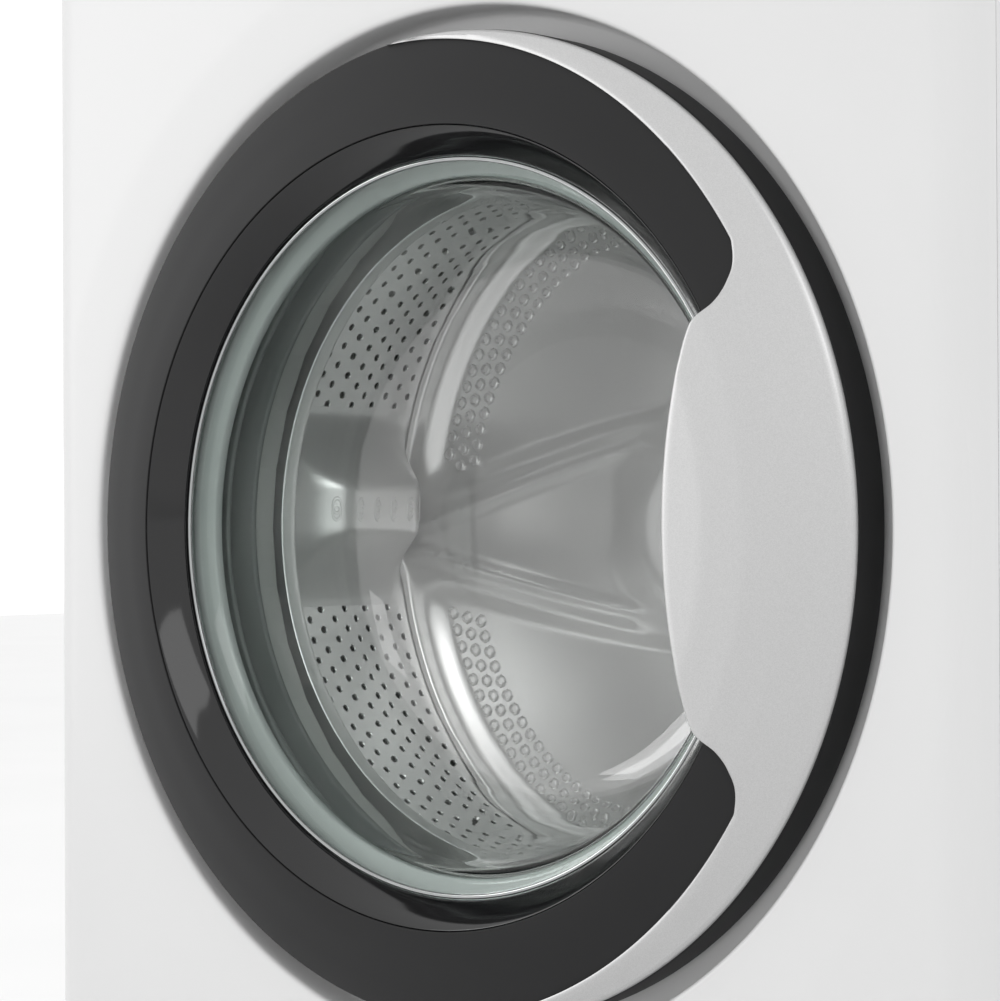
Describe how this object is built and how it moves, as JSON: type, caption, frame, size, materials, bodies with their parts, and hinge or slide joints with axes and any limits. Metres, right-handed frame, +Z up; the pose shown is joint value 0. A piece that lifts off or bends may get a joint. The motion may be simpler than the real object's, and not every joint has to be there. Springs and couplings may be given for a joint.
{
  "type": "front load washing machine",
  "caption": "Front loading washing machine with a recessed round porthole door, grip plate, drum on a sprung tub, detergent drawer, programme knob and adjustable feet.",
  "frame": {"origin": "on the floor, under the middle of the machine's bounding box", "axes": "+Z up, the front and its door face -Y, +X is to the right of a person facing the front"},
  "size_m": [0.596, 0.43, 0.85],
  "materials": {
    "cabinet_white": "satin white enamel",
    "fascia_white": "satin white plastic",
    "door_grey": "satin dark grey plastic",
    "frame_grey": "satin light grey plastic",
    "bezel_black": "glossy near black plastic",
    "handle_silver": "satin silver plastic",
    "bright_trim": "polished thin trim",
    "bowl_glass": "clear greenish glass",
    "drum_steel": "bright perforated stainless sheet",
    "cast_metal": "cast aluminium",
    "zinc_steel": "zinc plated steel",
    "grey_rubber": "soft grey rubber",
    "black_rubber": "black rubber",
    "tub_plastic": "light grey filled plastic",
    "dark_plastic": "dark grey plastic",
    "display_glass": "glossy black window",
    "concrete": "matte rough grey concrete"
  },
  "bodies": {
    "root": {"base_tray": "zinc_steel", "left_side_panel": "cabinet_white", "right_side_panel": "cabinet_white", "rear_panel": "cabinet_white", "rear_cover": "cabinet_white", "top_panel": "cabinet_white", "front_panel": "cabinet_white", "plinth_panel": "fascia_white", "control_fascia": "fascia_white", "display_window": "display_glass", "dispenser_housing": "tub_plastic", "door_lock": "dark_plastic", "hinge_bracket": "zinc_steel", "hinge_pin": "zinc_steel", "door_gasket": "grey_rubber", "suspension_spring_left": "zinc_steel", "suspension_spring_right": "zinc_steel", "damper_cylinder_left": "dark_plastic", "damper_cylinder_right": "dark_plastic", "drain_pump": "tub_plastic", "sump_hose": "black_rubber", "inlet_valve": "tub_plastic", "mains_cable_gland": "black_rubber"},
    "door": {"door_outer_ring": "door_grey", "door_bezel": "bezel_black", "glass_trim_ring": "bright_trim", "door_bowl": "bowl_glass", "door_inner_frame": "frame_grey", "handle_plate": "handle_silver", "hinge_arm": "zinc_steel"},
    "latch": {"latch_hook": "zinc_steel"},
    "drawer": {"drawer_front": "fascia_white", "drawer_tray": "tub_plastic"},
    "knob": {"programme_knob": "handle_silver"},
    "option_1": {"option_button_1": "handle_silver"},
    "option_2": {"option_button_2": "handle_silver"},
    "power": {"power_button": "handle_silver"},
    "start": {"start_button": "handle_silver"},
    "flap": {"filter_flap": "fascia_white"},
    "filter": {"pump_filter": "dark_plastic"},
    "foot_fl": {"foot_front_left": "black_rubber"},
    "foot_fr": {"foot_front_right": "black_rubber"},
    "foot_rl": {"foot_rear_left": "black_rubber"},
    "foot_rr": {"foot_rear_right": "black_rubber"},
    "tub": {"tub_front": "tub_plastic", "tub_rear": "tub_plastic", "counterweight": "concrete", "bearing_set": "zinc_steel", "motor": "cast_metal", "drive_belt": "black_rubber", "damper_rod_left": "zinc_steel", "damper_rod_right": "zinc_steel"},
    "drum": {"drum_shell": "drum_steel", "drum_back": "drum_steel", "drum_lifter_1": "drum_steel", "drum_lifter_2": "drum_steel", "drum_lifter_3": "drum_steel", "drum_shaft": "cast_metal", "drum_pulley": "cast_metal"},
    "rotor": {"motor_pulley": "zinc_steel"}
  },
  "joints": [
    {"name": "door_swing", "type": "hinge", "parent": "root", "child": "door", "pos_m": [-0.24, -0.188, 0.415], "axis": [0, 0, -1], "range_deg": [0, 117]},
    {"name": "latch_turn", "type": "hinge", "parent": "door", "child": "latch", "pos_m": [0.2235, -0.181, 0.415], "axis": [0, 0, 1], "range_deg": [0, 8], "stiffness_Nm_per_rad": 0.6, "springref_deg": -2.86},
    {"name": "drawer_slide", "type": "slide", "parent": "root", "child": "drawer", "axis": [0, -1, 0], "range_m": [0, 0.16]},
    {"name": "knob_turn", "type": "hinge", "parent": "root", "child": "knob", "pos_m": [-0.02, -0.1905, 0.771], "axis": [0, 1, 0], "continuous": true},
    {"name": "option_1_press", "type": "slide", "parent": "root", "child": "option_1", "axis": [0, 1, 0], "range_m": [0, 0.0015], "stiffness_N_per_m": 400},
    {"name": "option_2_press", "type": "slide", "parent": "root", "child": "option_2", "axis": [0, 1, 0], "range_m": [0, 0.0015], "stiffness_N_per_m": 400},
    {"name": "power_press", "type": "slide", "parent": "root", "child": "power", "axis": [0, 1, 0], "range_m": [0, 0.0015], "stiffness_N_per_m": 400},
    {"name": "start_press", "type": "slide", "parent": "root", "child": "start", "axis": [0, 1, 0], "range_m": [0, 0.0015], "stiffness_N_per_m": 400},
    {"name": "flap_turn", "type": "hinge", "parent": "root", "child": "flap", "pos_m": [0.2585, -0.1855, 0.062], "axis": [0, 0, 1], "range_deg": [0, 100]},
    {"name": "filter_turn", "type": "hinge", "parent": "root", "child": "filter", "pos_m": [0.206, -0.145, 0.062], "axis": [0, 1, 0], "range_deg": [0, 180]},
    {"name": "foot_fl_turn", "type": "hinge", "parent": "root", "child": "foot_fl", "pos_m": [-0.255, -0.13, 0], "axis": [0, 0, 1], "continuous": true},
    {"name": "foot_fr_turn", "type": "hinge", "parent": "root", "child": "foot_fr", "pos_m": [0.255, -0.13, 0], "axis": [0, 0, 1], "continuous": true},
    {"name": "foot_rl_turn", "type": "hinge", "parent": "root", "child": "foot_rl", "pos_m": [-0.255, 0.14, 0], "axis": [0, 0, 1], "continuous": true},
    {"name": "foot_rr_turn", "type": "hinge", "parent": "root", "child": "foot_rr", "pos_m": [0.255, 0.14, 0], "axis": [0, 0, 1], "continuous": true},
    {"name": "tub_bounce", "type": "slide", "parent": "root", "child": "tub", "axis": [0, 0, 1], "range_m": [-0.01, 0.01], "stiffness_N_per_m": 20000, "springref_m": 0.01542, "deforming": ["suspension_spring_left", "suspension_spring_right", "sump_hose", "door_gasket"]},
    {"name": "drum_spin", "type": "hinge", "parent": "tub", "child": "drum", "pos_m": [0, 0.085, 0.415], "axis": [0, 1, 0], "continuous": true},
    {"name": "motor_spin", "type": "hinge", "parent": "tub", "child": "rotor", "pos_m": [0.06, 0.105, 0.092], "axis": [0, 1, 0], "continuous": true}
  ],
  "couplings": [
    {"joint": "motor_spin", "follows": "drum_spin", "ratio": 13.684}
  ]
}
